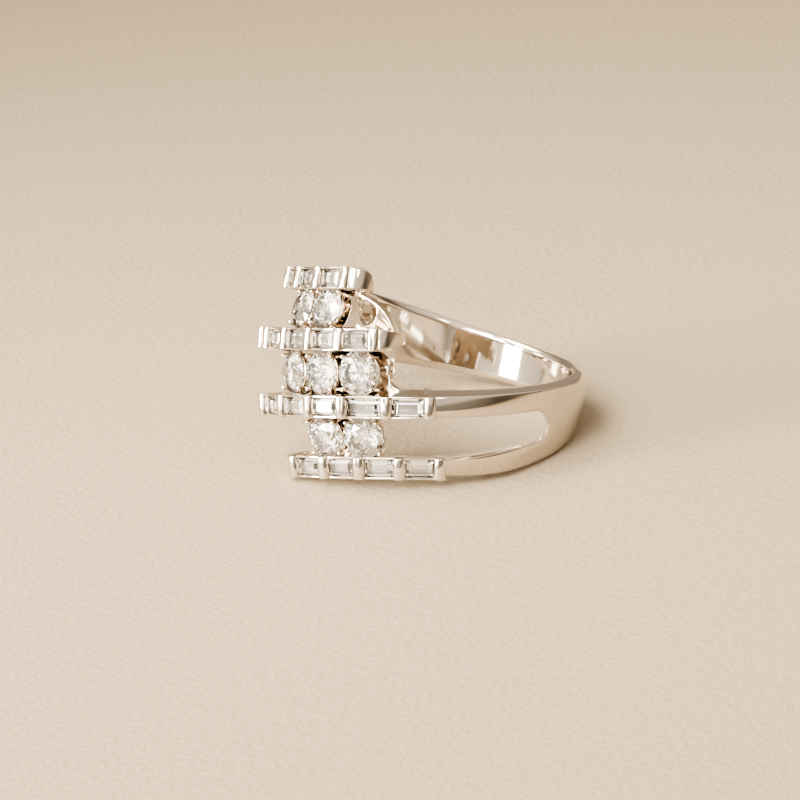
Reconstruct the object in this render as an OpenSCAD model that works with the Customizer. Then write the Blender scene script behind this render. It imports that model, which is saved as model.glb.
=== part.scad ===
// Crossover ring: a split band whose four slanted bars of step-cut baguettes
// pass each other over the finger, with seven round brilliants between them.
// The ring is built round the finger axis Z, with its head towards -Y, and is
// then laid down as it rests. A half turn about Y carries one side of the ring
// onto the other, so only one shoulder and its two bars are described.

/* [Finger] */
// Diameter of the finger hole
finger_d = 17.2; // [16.9:0.1:17.4]

/* [Band] */
// Width of the band at the back, along the finger
band_w = 2.9; // [2.7:0.1:3.1]
// Thickness of the band at the back
band_t = 1.0; // [0.9:0.05:1.1]
// How much the band's free edge spreads for each mm from the back towards the head
flare = 0.235; // [0.22:0.005:0.24]
// Width of each branch beside the slot
branch_w = 1.36; // [1.2:0.02:1.4]
// Radius that the shoulders are dressed to, from the centre of the ring
shoulder_r = 11.4; // [11.2:0.1:11.6]

/* [Bars] */
// Width of a bar
bar_w = 1.4; // [1.26:0.02:1.4]
// Slant of the bars across the finger, in degrees
slant = 14; // [12:0.5:15]
// Height along the finger of the two inner bars, from the middle of the head
inner_bar_z = 2.2; // [2.15:0.05:2.3]
// Height along the finger of the two outer bars
outer_bar_z = 6.19; // [6.05:0.05:6.25]
// Radius of the rails of the inner bars
inner_bar_r = 11.62; // [11.5:0.02:11.7]
// Radius of the rails of the outer bars
outer_bar_r = 10.68; // [10.6:0.02:10.8]
// Thickness of the cross-prongs between the baguettes
prong_w = 0.76; // [0.7:0.02:0.8]
// How far a cross-prong stands above the rails
prong_rise = 0.3; // [0.25:0.01:0.34]

/* [Stones] */
// Diameter of the round brilliants
round_d = 2.74; // [2.6:0.02:2.76]
// Width of a baguette
baguette_w = 1.1; // [1:0.02:1.12]
// Gap left between a stone and its seat
seat_gap = 0.03; // [0.02:0.005:0.04]

/* [Hidden] */
$fn = 96;

far = 40;                       // longer than anything in the ring
finger_r = finger_d / 2;
bore_cut_r = finger_r - 1;       // radius that parts start from before the hole is cut

// The pose at rest: two leans, then the shift that brings the ring over the
// middle of its own footprint
lean_side = -16;
lean_back = 3.6;
rest_shift = [-0.026, 1.379, 4.106];

// Outline of the band round the finger: two circles set forward of the hole
back_shift = 0.6;
back_r = finger_r + band_t + back_shift;
front_shift = 1.5;
front_r = 10.3;

// Edges of the near half, seen from the side, as functions of the depth y
fall = 0.06;                    // how the inner edge rises from the back
curl = 0.0015;                  // easing of the free edge towards the head
crest_z = 1.6;                  // highest level of the inner edge
narrowing = 0.08;               // slope of both edges outside the finger hole's back
function behind_hole(y) = max(y - finger_r, 0);
function from_back(y) = max(finger_r - y, 0);
function inner_edge(y) = min(band_w / 2 + fall * from_back(y), crest_z) - narrowing * behind_hole(y);
function free_edge(y) = -band_w / 2 - flare * from_back(y) + curl * pow(from_back(y), 2)
                        + narrowing * behind_hole(y);
back_y = 10.4;
front_y = -9.5;
edge_steps = 18;
edge_ys = concat([back_y],
                 [for (i = [0 : edge_steps]) finger_r + (front_y - finger_r) * i / edge_steps]);

// Towards the head the inner edge and the slot are dressed along one line of
// sight, and are drawn as functions of u, the distance to the right of it
sight = 50;                     // its angle round the finger from the head
slot_dip = 7;                   // the slot's walls fall inwards by this angle
sight_r = 10.6;
SHOULDER = [0.65, 0.155, -0.004];   // level, slope and curve of the inner edge
LOWER_SLOT = [-4.9, 0.24, 0.01];    // the same for the line a branch below the slot
slot_ease = 0.05;               // how much wider the upper branch is at the slot's middle
slot_curve = 0.01;
slot_end_u = 5.8;               // where the round end of the slot begins
slot_front_u = -5;
shoulder_end_u = 8;
branch_split = -2;              // a level between the two branches
sight_steps = 12;
function level(e, u) = e[0] + e[1] * u + e[2] * u * u;
function slot_top(u) = level(SHOULDER, u) - branch_w - slot_ease + slot_curve * u * u;
function slot_bottom(u) = level(LOWER_SLOT, u) + branch_w;
slot_us = [for (i = [0 : sight_steps]) slot_end_u + (slot_front_u - slot_end_u) * i / sight_steps];
shoulder_us = [for (i = [0 : sight_steps]) shoulder_end_u + (slot_front_u - shoulder_end_u) * i / sight_steps];

// Angles of the cross-prongs round the head, from the shoulder to the free end
INNER_PRONGS = [44.2, 30.4, 15.6, 2.8, -10, -22.3];
OUTER_PRONGS = [51.4, 37.6, 23.4, 9.8, -4];
inner_tilt = 4;
outer_tilt = 10;
outer_undercut = 0.36;          // how far the outer bars narrow towards the finger
inner_tip = [0.95, 2.3];        // how far a bar's end cap runs on, and falls
outer_tip = [0.8, 1.5];
inner_tip_z = [-0.45, 0.28];    // levels that an inner bar's end cap narrows to
tip_round = 0.9;                // round corner of the outer bars' end caps

// Round stones: each row's step, girdle radius, height, first angle and tilt
MID_ROW = [16.2, 10.5, 0, -16.2, 0];
SIDE_ROW = [16.3, 10.1, -4.22, 5.5, 18];
mid_count = 3;
side_count = 2;
STEP = 0;
GIRDLE_R = 1;
ROW_Z = 2;
FIRST = 3;
TILT = 4;

// Cups and the pierced gallery that carries them next to the finger
cup_wall = 0.07;
cup_depth = 1.15;
cup_foot = 1.2;                 // radius of a cup at its foot
claw_d = 0.3;
claw_rise = 0.2;
claw_grip = 0.04;               // how far a claw is let into the stone's edge before its seat is cut

gallery_t = 0.7;
pierce_h = 1.2;                 // how far the gallery's holes reach out from the finger
azure_d = 1.3;                  // holes under the stones
window_d = 1.7;                 // window in each free end of the gallery
window_up = 0.3;                // how far it lies above the middle of the row
window_turn = -2;               // and beyond the row's straight part, in degrees
mid_gallery = 25.5;             // half the angle of the middle gallery
side_gallery = [-9, 29.5];      // angles of a side gallery, without its round end
round_end_r = 1.8;
round_end_drop = 0.5;           // how far the round end's middle lies below the inner bar's middle
round_end_from = -28;

// Brilliant cut
crown_angle = 34;
pavilion_angle = 40.8;
round_r = round_d / 2;
table_r = round_r * 0.56;
star_r = round_r * 0.78;
lower_r = round_r * 0.24;
girdle_t = 0.07;
main_facets = 8;

// Step cut: height over the girdle and how far each step lies in, from the table down
STEPS = [[0.25, 0.34, 0.24], [0.14, 0.16, 0.11], [0, 0, 0], [-0.06, 0, 0],
         [-0.27, 0.16, 0.16], [-0.48, 0.36, 0.36]];
table_over_rail = 0.03;         // how far a baguette's table stands over the rails

// Repeats what is given after a half turn about the axis of the head
module both_sides() {
    children();
    rotate([0, 180, 0]) children();
}

// Lays the ring down as it rests
module at_rest() {
    translate(rest_shift) rotate([lean_side, lean_back, 0]) children();
}

// A place on the head: z along the finger, then round a slanted circle to the
// angle, out to the radius and tilted. There +Y points out of the head, and +X
// runs on towards the free end of the lower bars.
module on_head(z, angle, radius, tilt) {
    translate([0, 0, z]) rotate([0, -slant, 0]) rotate([0, 0, angle])
        translate([0, -radius, 0]) rotate([-tilt, 0, 180]) children();
}

// Prism along the line of sight, its outline drawn to the right and upwards
module along_sight(dip) {
    rotate([0, 0, sight]) translate([0, -sight_r, 0]) rotate([90 - dip, 0, 0])
        linear_extrude(far, center = true) children();
}

module along_x() {
    rotate([90, 0, 90]) linear_extrude(far) children();
}

// Band

module band_outline() {
    intersection() {
        linear_extrude(2 * far, center = true) {
            translate([0, -back_shift]) circle(back_r);
            translate([0, -front_shift]) circle(front_r);
        }
        sphere(shoulder_r, $fn = 128);
    }
}

module side_outline() {
    polygon(concat([for (y = edge_ys) [y, inner_edge(y)]],
                   [for (i = [len(edge_ys) - 1 : -1 : 0]) [edge_ys[i], free_edge(edge_ys[i])]]));
}

// Everything below the shoulder's inner edge
module shoulder_outline() {
    polygon(concat([for (u = shoulder_us) [u, level(SHOULDER, u)]],
                   [[slot_front_u, -far], [far, -far], [far, level(SHOULDER, shoulder_end_u)]]));
}

module slot_outline() {
    end_r = (slot_top(slot_end_u) - slot_bottom(slot_end_u)) / 2;
    translate([slot_end_u, slot_top(slot_end_u) - end_r]) circle(end_r);
    polygon(concat([for (u = slot_us) [u, slot_top(u)]],
                   [for (i = [len(slot_us) - 1 : -1 : 0]) [slot_us[i], slot_bottom(slot_us[i])]]));
}

// Everything on the back side of a line from the finger axis at an angle
module behind(angle) {
    linear_extrude(2 * far, center = true)
        polygon([[0, 0], [far * sin(angle), -far * cos(angle)], [2 * far, 0], [2 * far, far], [0, far]]);
}

module shoulder() {
    difference() {
        intersection() {
            band_outline();
            along_x() side_outline();
            along_sight(0) shoulder_outline();
            union() {
                intersection() {
                    behind(INNER_PRONGS[0] - 1);
                    translate([0, -far / 2, branch_split]) cube(far);
                }
                behind(OUTER_PRONGS[0] - 1);
            }
        }
        intersection() {
            along_sight(slot_dip) slot_outline();
            behind(20);
        }
    }
}

// Bars

// A strip round the slanted circle, between two angles
module arc_strip(z, outer_r, inner_r, width, tilt, from, to, undercut = 0) {
    translate([0, 0, z]) rotate([0, -slant, 0]) rotate([0, 0, from - 90])
        rotate_extrude(angle = to - from)
            translate([outer_r, 0]) rotate(-tilt)
                polygon([[0, -width / 2], [0, width / 2], [inner_r - outer_r, width / 2 - undercut],
                         [inner_r - outer_r, -width / 2]]);
}

module cross_prong() {
    deep = 0.9;
    neck = prong_rise - prong_w / 2;
    translate([-prong_w / 2, -deep, -bar_w / 2]) cube([prong_w, deep + neck, bar_w]);
    translate([0, neck, -bar_w / 2]) cylinder(d = prong_w, h = bar_w);
}

// Side view of the cap that closes a bar's free end and curves down to the gallery
module cap_outline(tip) {
    root = -0.2;
    run = prong_w / 2 + tip[0];
    translate([run - tip[0], -tip[0]]) circle(tip[0]);
    translate([root, -tip[1]]) square([run - tip[0] - root, tip[1]]);
    translate([root, -tip[1]]) square([run - root, tip[1] - tip[0]]);
}

module inner_cap() {
    run = prong_w / 2 + inner_tip[0];
    intersection() {
        translate([0, 0, -bar_w / 2]) linear_extrude(bar_w) cap_outline(inner_tip);
        rotate([90, 0, 0]) linear_extrude(far, center = true)
            polygon([[-1, -bar_w / 2], [prong_w / 2, -bar_w / 2], [run, inner_tip_z[0]],
                     [run, inner_tip_z[1]], [prong_w / 2, bar_w / 2], [-1, bar_w / 2]]);
    }
}

module outer_cap() {
    run = prong_w / 2 + outer_tip[0];
    intersection() {
        translate([0, 0, -bar_w / 2]) linear_extrude(bar_w) cap_outline(outer_tip);
        rotate([90, 0, 0]) linear_extrude(far, center = true) {
            translate([run - tip_round, tip_round - bar_w / 2]) circle(tip_round);
            translate([-1, -bar_w / 2]) square([run - tip_round + 1, bar_w]);
            translate([-1, tip_round - bar_w / 2]) square([run + 1, bar_w - tip_round]);
        }
    }
}

module bar_strip(z, radius, tilt, prongs, undercut) {
    last = len(prongs) - 1;
    arc_strip(z, radius, bore_cut_r, bar_w, tilt, prongs[last] - 1, prongs[0] + 1, undercut);
}

module bar_prongs(z, radius, tilt, prongs) {
    for (angle = prongs) on_head(z, angle, radius, tilt) cross_prong();
}

// Baguettes

// Middle angle and length of the place between two neighbouring prongs
function place_angle(prongs, i) = (prongs[i] + prongs[i + 1]) / 2;
function place_length(prongs, i, radius) = 2 * radius * sin((prongs[i] - prongs[i + 1]) / 2) - prong_w;

module step_cut(length, width) {
    points = [for (s = STEPS) for (c = [[1, 1], [-1, 1], [-1, -1], [1, -1]])
        [c[0] * (length / 2 - s[1]), s[0], c[1] * (width / 2 - s[2])]];
    rows = len(STEPS);
    faces = concat([[3, 2, 1, 0]],
                   [for (r = [0 : rows - 2]) for (k = [0 : 3])
                       [4 * r + k, 4 * r + (k + 1) % 4, 4 * r + 4 + (k + 1) % 4, 4 * r + 4 + k]],
                   [[for (k = [0 : 3]) 4 * (rows - 1) + k]]);
    polyhedron(points, faces);
}

module baguette(z, radius, tilt, prongs, i) {
    on_head(z, place_angle(prongs, i), radius, tilt) translate([0, table_over_rail - STEPS[0][0], 0])
        step_cut(place_length(prongs, i, radius) - 2 * seat_gap, baguette_w);
}

// The channel that a baguette drops into
module channel(z, radius, tilt, prongs, i) {
    deep = STEPS[0][0] - STEPS[5][0] + seat_gap;
    long = place_length(prongs, i, radius);
    wide = baguette_w + 2 * seat_gap;
    on_head(z, place_angle(prongs, i), radius, tilt)
        translate([-long / 2, table_over_rail - deep, -wide / 2]) cube([long, deep + 1, wide]);
}

// Round stones

function ring_of(r, z, turn) = [for (k = [0 : main_facets - 1])
    let (a = 360 * k / main_facets + turn) [r * cos(a), r * sin(a), z]];
half_step = 180 / main_facets;
crown_h = (round_r - table_r) * tan(crown_angle);
star_z = (round_r - star_r * cos(half_step)) * tan(crown_angle);
lower_z = -girdle_t - (round_r - lower_r * cos(half_step)) * tan(pavilion_angle);
culet_z = -girdle_t - round_r * tan(pavilion_angle);

module brilliant_cut() {
    n = main_facets;
    points = concat(ring_of(table_r, crown_h, 0), ring_of(star_r, star_z, half_step),
                    ring_of(round_r, 0, 0), ring_of(round_r, 0, half_step),
                    ring_of(round_r, -girdle_t, 0), ring_of(round_r, -girdle_t, half_step),
                    ring_of(lower_r, lower_z, half_step), [[0, 0, culet_z]]);
    table = 0;
    star = n;
    main_top = 2 * n;
    half_top = 3 * n;
    main_low = 4 * n;
    half_low = 5 * n;
    lower = 6 * n;
    culet = 7 * n;
    faces = concat([[for (k = [n - 1 : -1 : 0]) table + k]],
        [for (k = [0 : n - 1]) let (next = (k + 1) % n, prev = (k + n - 1) % n) each [
            [table + k, table + next, star + k],
            [table + k, star + k, main_top + k, star + prev],
            [star + k, half_top + k, main_top + k],
            [star + k, main_top + next, half_top + k],
            [main_top + k, half_top + k, half_low + k, main_low + k],
            [half_top + k, main_top + next, main_low + next, half_low + k],
            [main_low + k, half_low + k, lower + k],
            [half_low + k, main_low + next, lower + k],
            [main_low + k, lower + k, culet, lower + prev]]]);
    polyhedron(points, faces);
}

module in_row(row, i) {
    on_head(row[ROW_Z], row[FIRST] + i * row[STEP], row[GIRDLE_R], row[TILT])
        rotate([-90, 0, 0]) children();
}

// Room for a stone: straight over the girdle, then down along its cone
module round_seat() {
    foot_r = 0.1;
    translate([0, 0, -girdle_t - seat_gap]) cylinder(r = round_r + seat_gap, h = 2 * round_r);
    translate([0, 0, culet_z - foot_r])
        cylinder(r1 = foot_r, r2 = round_r + seat_gap, h = -culet_z + foot_r - girdle_t - seat_gap);
}

module cup() {
    translate([0, 0, -cup_depth])
        cylinder(r1 = cup_foot, r2 = round_r + cup_wall, h = cup_depth - girdle_t);
    for (a = [45 : 90 : 315]) rotate(a) translate([round_r + claw_d / 2 - claw_grip, 0, -cup_depth / 2]) {
        cylinder(d = claw_d, h = cup_depth / 2 + claw_rise, $fn = 24);
        translate([0, 0, cup_depth / 2 + claw_rise]) sphere(d = claw_d, $fn = 24);
    }
}

// Gallery

module radial_hole(z, angle, d) {
    on_head(z, angle, bore_cut_r, 0) rotate([-90, 0, 0])
        cylinder(d = d, h = finger_r - bore_cut_r + pierce_h, $fn = 48);
}

module side_gallery_end() {
    intersection() {
        arc_strip(SIDE_ROW[ROW_Z], finger_r + gallery_t, bore_cut_r, 4, 0, round_end_from, side_gallery[0] + 1);
        radial_disc(-inner_bar_z - round_end_drop, side_gallery[0], round_end_r);
    }
}

module radial_disc(z, angle, r) {
    on_head(z, angle, 0, 0) rotate([-90, 0, 0]) cylinder(r = r, h = far);
}

module gallery() {
    arc_strip(0, finger_r + gallery_t, bore_cut_r, 2 * inner_bar_z, 0, -mid_gallery, mid_gallery);
    both_sides() difference() {
        union() {
            arc_strip(SIDE_ROW[ROW_Z], finger_r + gallery_t, bore_cut_r, outer_bar_z - inner_bar_z, 0,
                      side_gallery[0], side_gallery[1]);
            side_gallery_end();
        }
        radial_hole(SIDE_ROW[ROW_Z] + window_up, side_gallery[0] + window_turn, window_d);
    }
}

module gallery_holes() {
    for (i = [0 : mid_count - 1]) radial_hole(0, MID_ROW[FIRST] + i * MID_ROW[STEP], azure_d);
    both_sides() for (i = [0 : side_count - 1])
        radial_hole(SIDE_ROW[ROW_Z], SIDE_ROW[FIRST] + i * SIDE_ROW[STEP], azure_d);
}

// One shoulder with its two bars and the cups of one side row
module half_ring() {
    last_inner = INNER_PRONGS[len(INNER_PRONGS) - 1];
    last_outer = OUTER_PRONGS[len(OUTER_PRONGS) - 1];
    shoulder();
    bar_strip(-inner_bar_z, inner_bar_r, inner_tilt, INNER_PRONGS, 0);
    bar_strip(-outer_bar_z, outer_bar_r, outer_tilt, OUTER_PRONGS, outer_undercut);
    bar_prongs(-inner_bar_z, inner_bar_r, inner_tilt, INNER_PRONGS);
    bar_prongs(-outer_bar_z, outer_bar_r, outer_tilt, OUTER_PRONGS);
    on_head(-inner_bar_z, last_inner, inner_bar_r, inner_tilt) inner_cap();
    on_head(-outer_bar_z, last_outer, outer_bar_r, outer_tilt) outer_cap();
    for (i = [0 : side_count - 1]) in_row(SIDE_ROW, i) cup();
}

// What is cut for the stones on one side
module half_seats() {
    for (i = [0 : side_count - 1]) in_row(SIDE_ROW, i) round_seat();
    for (i = [0 : len(INNER_PRONGS) - 2])
        channel(-inner_bar_z, inner_bar_r, inner_tilt, INNER_PRONGS, i);
    for (i = [0 : len(OUTER_PRONGS) - 2])
        channel(-outer_bar_z, outer_bar_r, outer_tilt, OUTER_PRONGS, i);
}

// All the metal, soldered together
module soldered() {
    gallery();
    for (i = [0 : mid_count - 1]) in_row(MID_ROW, i) cup();
    half_ring();
    upper_half() half_ring();
}

module bored() {
    difference() {
        soldered();
        cylinder(r = finger_r, h = 2 * far, center = true);
    }
}

module pierced() {
    difference() {
        bored();
        gallery_holes();
    }
}

module middle_seated() {
    difference() {
        pierced();
        for (i = [0 : mid_count - 1]) in_row(MID_ROW, i) round_seat();
    }
}

module lower_seated() {
    difference() {
        middle_seated();
        half_seats();
    }
}

module band() {
    color("silver") difference() {
        lower_seated();
        upper_half() half_seats();
    }
}

module round_stone(row, i) {
    color("white") in_row(row, i) brilliant_cut();
}

module inner_baguette(i) {
    color("white") baguette(-inner_bar_z, inner_bar_r, inner_tilt, INNER_PRONGS, i);
}

module outer_baguette(i) {
    color("white") baguette(-outer_bar_z, outer_bar_r, outer_tilt, OUTER_PRONGS, i);
}

module upper_half() {
    rotate([0, 180, 0]) children();
}

at_rest() band();
for (i = [0 : side_count - 1]) {
    at_rest() upper_half() round_stone(SIDE_ROW, i);
    at_rest() round_stone(SIDE_ROW, i);
}
for (i = [0 : mid_count - 1])
    at_rest() round_stone(MID_ROW, i);
for (i = [0 : len(OUTER_PRONGS) - 2]) {
    at_rest() upper_half() outer_baguette(i);
    at_rest() outer_baguette(i);
}
for (i = [0 : len(INNER_PRONGS) - 2]) {
    at_rest() upper_half() inner_baguette(i);
    at_rest() inner_baguette(i);
}
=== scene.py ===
"""Crossover ring: polished white gold, round brilliants and step-cut baguettes."""

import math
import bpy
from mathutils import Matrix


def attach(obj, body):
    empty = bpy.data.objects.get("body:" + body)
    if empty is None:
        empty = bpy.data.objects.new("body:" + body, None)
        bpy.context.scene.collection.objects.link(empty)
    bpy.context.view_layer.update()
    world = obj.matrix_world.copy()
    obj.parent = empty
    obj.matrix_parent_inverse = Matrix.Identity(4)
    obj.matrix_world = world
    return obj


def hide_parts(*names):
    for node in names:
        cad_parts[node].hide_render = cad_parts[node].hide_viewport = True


bl_info = {
    "name": "Crossover Ring",
    "version": (1, 0, 0),
    "blender": (4, 5, 0),
    "location": "3D View > Sidebar > Ring",
    "description": "Builds the crossover ring's metal, dresses its stones and lays it on a pale floor",
    "category": "Add Mesh",
}

import bmesh
import bpy
from bpy.props import FloatProperty, FloatVectorProperty, PointerProperty
from mathutils import Matrix, Vector

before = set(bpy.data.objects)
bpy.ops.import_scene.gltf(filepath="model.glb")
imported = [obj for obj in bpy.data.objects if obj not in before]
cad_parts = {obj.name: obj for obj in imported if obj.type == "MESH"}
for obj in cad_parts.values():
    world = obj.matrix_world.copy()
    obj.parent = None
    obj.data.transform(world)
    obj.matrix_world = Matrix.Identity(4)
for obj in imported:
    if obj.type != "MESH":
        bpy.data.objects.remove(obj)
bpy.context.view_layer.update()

MM = 0.001

# Names of the two metals
POLISHED = "polished_white_gold"
# The second is a warmer copy for the settings and the gallery: painted shade where they sit in recesses
# between the stones
PAINTED_SHADE_METAL = "painted_shade_white_gold"

# Sizes are in the ring's own axes, in millimetres and degrees: Z runs up the finger, and the head
# looks to -Y

# The pose at rest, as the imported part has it
LEAN_SIDE = -16.0
LEAN_BACK = 3.6
REST_SHIFT = (-0.026, 1.379, 4.106)

# Outline of the band round the finger: two circles set forward, held inside a ball
BACK_SHIFT = 0.6
BACK_R = 10.2
FRONT_SHIFT = 1.5
FRONT_R = 10.3
CIRCLE_BLEND = 0.04
BALL_R = 11.4
BALL_BLEND = 0.06

# Levels of the band's two edges by depth, from its half width at the back
BAND_HALF = 1.45
OPEN_FROM_Y = 8.6
FALL = 0.06
CREST = 1.6
FLARE = 0.235
CURL = 0.0015
NARROWING = 0.08
LEVEL_BLEND = 0.03

# The line of sight that the shoulder and the slot are dressed along
SIGHT = 50.0
SIGHT_R = 10.6
SLOT_DIP = 7.0
SHOULDER = (0.65, 0.155, -0.004)
SHOULDER_END_U = 8.0
LOWER_SLOT = (-4.9, 0.24, 0.01)
SLOT_CURVE = 0.01
SLOT_DROP = 0.05
BRANCH = 1.36
BRANCH_TIP_U = (-1.6, -0.15)
BRANCH_TIP_Z = (-0.5, -4.4)
SLOT_END_U = 5.8
SLOT_END_V = -0.716
SLOT_END_R = 1.031
# Where the slot's round end takes over from its upper and its lower edge
SLOT_JOIN_U = (5.573, 6.146)
SLOT_JOIN_TURN = (102.7, -70.4)

# How the band's skin falls away near its edges, and over what distance
EDGE_REACH = 1.3
SLOT_FALL = 0.07
SLOT_REACH = 0.5
FINGER_FALL = 0.22
FINGER_REACH = 0.45
FINGER_EASE_Y = (0.5, 5.5)
# At the turn the upper edge stands a little higher, and its outside rolls over
TURN_FROM_U = 7.4
TURN_FULL_U = 9.6
TURN_LIFT = 0.13
TURN_ROLL = 0.28
ROLL_REACH = 0.5
# Rounds of smoothing that even out the band's flat grid
EVENING = 300

# Bars. Prongs stand at these angles; a cap runs on past the last one, rolls down and ends in a foot
BAR_W = 1.4
SLANT = 14.0
INNER_BAR = {"name": "inner", "z": -2.2, "r": 11.62, "tilt": 4.0, "undercut": 0.0, "flare": 0.53,
             "prongs": (44.2, 30.4, 15.6, 2.8, -10.0, -22.3),
             "cap": {"run": 0.87, "foot": 2.3, "roll": 1.7}}
OUTER_BAR = {"name": "outer", "z": -6.19, "r": 10.68, "tilt": 10.0, "undercut": 0.36, "flare": 0.0,
             "prongs": (51.4, 37.6, 23.4, 9.8, -4.0),
             "cap": {"run": 0.88, "foot": 1.5, "roll": 1.25}}
PRONG_W = 0.76
PRONG_RISE = 0.3
PRONG_DEEP = 0.9
PRONG_CROWN = 0.3
PRONG_ROUND = 0.06
PRONG_LAP = 1
RAIL_W = 0.12
RAIL_ROUND = 0.03
RAIL_SINK = 0.6
CHANNEL_DEEP = 0.73
UNDERCUT_R = 7.6
FLARE_FROM = 1.25
# The angle at which a bar's run beside the middle row meets its run towards the shoulder
RUN_CHANGE = 24.5
RUN_LAP = 0.1
CAP_START = -0.2
CAP_LEVEL_TO = 0.1
CAP_LAP = 0.1
CAP_STEPS = 20
CAP_FULL_TO = 0.5
CAP_BASE_DEEP = 0.9
CAP_FOOT_X = 0.15
CAP_CORNER = 0.12
CAP_ROUND = 0.04
CAP_FLARE = 0.65
# How much an inner cap narrows on its two sides, and where an outer cap's round corner starts
BLADE_NEAR = 0.27
BLADE_FAR = 0.52
ROUND_CORNER_FROM = 0.35
ROUND_CORNER_IN = 0.75

# Rows of rounds: step, girdle radius, height, first angle, tilt and count
MID_ROW = {"step": 16.2, "r": 10.5, "z": 0.0, "first": -16.2, "tilt": 0.0, "count": 3}
SIDE_ROW = {"step": 16.3, "r": 10.1, "z": -4.22, "first": 5.5, "tilt": 18.0, "count": 2}
ROUND_R = 1.37
CUP_GAP = 0.03
CUP_FOOT_R = 0.76
CUP_FOOT_WALL = 0.14
CUP_FOOT_Z = -1.15
CUP_NECK_Z = -0.88
CUP_SHOULDER_Z = -0.3
CUP_RIM_Z = -0.14
CUP_LIP = 0.02
CUP_ROUND = 0.015
CLAW_D = 0.3
CLAW_RISE = 0.15
CLAW_SINK = 0.6
CLAW_GRIP = 0.06
CLAW_ANGLES = (45, 135, 225, 315)
CLAW_STEPS = 6

# The gallery next to the finger: X round the head, H along the finger
GALLERY_T = 0.7
GALLERY_R = 9.3
AZURE_R = 0.65
PLATE_ROUND = 0.06
PLATE_CUT = 0.16
MIDDLE_END = 25.8
MIDDLE_HALF = 2.1
PIN_HOLE = (3.42, -0.46, 0.25)
INSIDE_CORNER = {"lap": 0.4, "out": 0.6, "low": -1.4, "high": -0.4}
INSIDE_CORNER_CUT = (0.7, -0.35, 0.7)
SIDE_START = -7.5
SIDE_STOP = 27
SIDE_HALF = 1.98
# The upper plate's free end, a wide round rim with a window in it
RIM_CENTRE = (-0.29, 2.66)
RIM_R = 3.65
RIM_FROM_X = -4.4
RIM_LOW = -1.4
RIM_LAP = 0.2
RIM_DEEP = 6
RIM_ROLL = 0.3
# How far off the plate's face and its round edge a corner may be and still count as on the rim
FACE_SLACK = 0.01
RIM_SLACK = 0.02
RIM_WINDOWS = ((-1.66, 0.3, 0.82), (-1.2, -0.3, 0.3))
# The strut beside that window: its two ends in plan, its blank and the discs that waist it
STRUT_ENDS = ((-0.523, -9.986), (-1.214, -9.22))
STRUT_BLANK = (-0.6, 0.68, -0.75, 1.25)
STRUT_WAISTS = ((-2.35, -0.3, 2.32), (4.38, -0.3, 4.02))
STRUT_TURN = 6
STRUT_LEAN = 11
# The lugs at the ends of the middle row: size, and height, angle and radius on the head
LUG_SIZE = (1.1, 1.0, 0.66)
LUG_ROUND = 0.14
LUG_PLACE = (0.2, 22.6, 9.0)

HALF_TURN = Matrix.Rotation(math.pi, 4, "Y")

# Radius of a turned piece's pole before it closes, and the distances at which two corners become
# one, in a finished piece and after cutting
POLE_R = 0.0001
SEAM = 2.5e-4
CUT_SEAM = 1e-3

# Finishes: shares of the metal's colour for the settings, warmer as painted shade in their recesses, and
# of the stones' for their fire
PAINTED_SHADE_WARMTH = (1.04, 0.99, 0.93)
HAZE_RANGE = (0.6, 1.8)
# Warm and cool patches painted into the stones' colour stand in for their fire, the light a cut stone
# splits
WARM_PAINTED_FIRE = (1.0, 0.965, 0.89)
COOL_PAINTED_FIRE = (0.95, 0.98, 1.0)
PLAIN_STONE = (0.42, 0.58)
STONE_HAZE = 0.02
DIAMOND_IOR = 2.417
FLOOR_TONES = (0.93, 1.07)

# The stage, in metres. Each light has a place, a size, a spread, a power and a colour
FLOOR_HALF = 1.5
LIGHT_AIM = (0.008, -0.016, 0.0)
WINDOW_LIGHT = ((-0.102, -0.228, 0.052), (0.08, 0.105), 60, 0.95, (1.0, 0.88, 0.70))
FRONT_LIGHT = ((0.05, -0.22, 0.19), (0.26, 0.20), 42, 0.85, (1.0, 0.91, 0.77))
OVERHEAD_LIGHT = ((-0.12, -0.08, 0.24), (0.18, 0.16), 50, 0.25, (1.0, 0.90, 0.76))
# Small bright panels that the stones' facets catch
GLINT_PLACES = ((-0.20, -0.12, 0.12), (-0.05, -0.24, 0.16), (0.12, -0.22, 0.10), (0.20, -0.10, 0.18),
                (0.02, -0.12, 0.26), (-0.14, -0.20, 0.20), (0.06, -0.25, 0.05))
GLINT = ((0.045, 0.045), 90, 0.05, (1.0, 0.94, 0.84))

# The room: its own tone, then glows by colour, direction and the cosines between which they come in
ROOM_TONE = (0.38, 0.29, 0.205)
ROOM_GLOWS = (((1.95, 1.68, 1.30), (-0.30, -0.80, 0.55), 0.25, 1.0),
              ((1.2, 1.04, 0.82), (0.1, 0.3, 1.0), 0.45, 1.0),
              ((0.14, 0.10, 0.07), (-0.67, 0.74, 0.1), 0.0, 0.9),
              ((1.0, 0.86, 0.66), (0.74, -0.40, 0.50), 0.62, 0.95))
# A shade low on one side: direction, cosines, heights between which it clears, what it leaves
SHADE_SIDE = (0.97, -0.20, 0.0)
SHADE_COSINES = (0.55, 0.9)
SHADE_CLEARS = (0.19, 0.30)
SHADE_LEAVES = 0.32

# The camera, fitted to the photograph in the ring's own axes and in pixels
AZIMUTH, ELEVATION, ROLL = 43.0, 11.021, 10.357
DISTANCE = 300.0
SCALE_AT_RING = 15.403
RING_X, RING_Y = 435.92, 370.109
IMAGE_W = 800
SENSOR_W = 36


# Properties


class RingSizes(bpy.types.PropertyGroup):
    finger_d: FloatProperty(name="Finger hole", description="Diameter of the finger hole",
                            default=0.0172, unit="LENGTH")
    edge_round: FloatProperty(name="Edge rounding", description="Rounding of the band's polished edges",
                              default=0.00011, unit="LENGTH")
    dome: FloatProperty(name="Dome", description="How far the band's outside falls away at its edges",
                        default=0.00020, unit="LENGTH")
    cup_wall: FloatProperty(name="Cup wall", description="Wall of a cup round a brilliant",
                            default=0.00004, unit="LENGTH")


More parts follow.
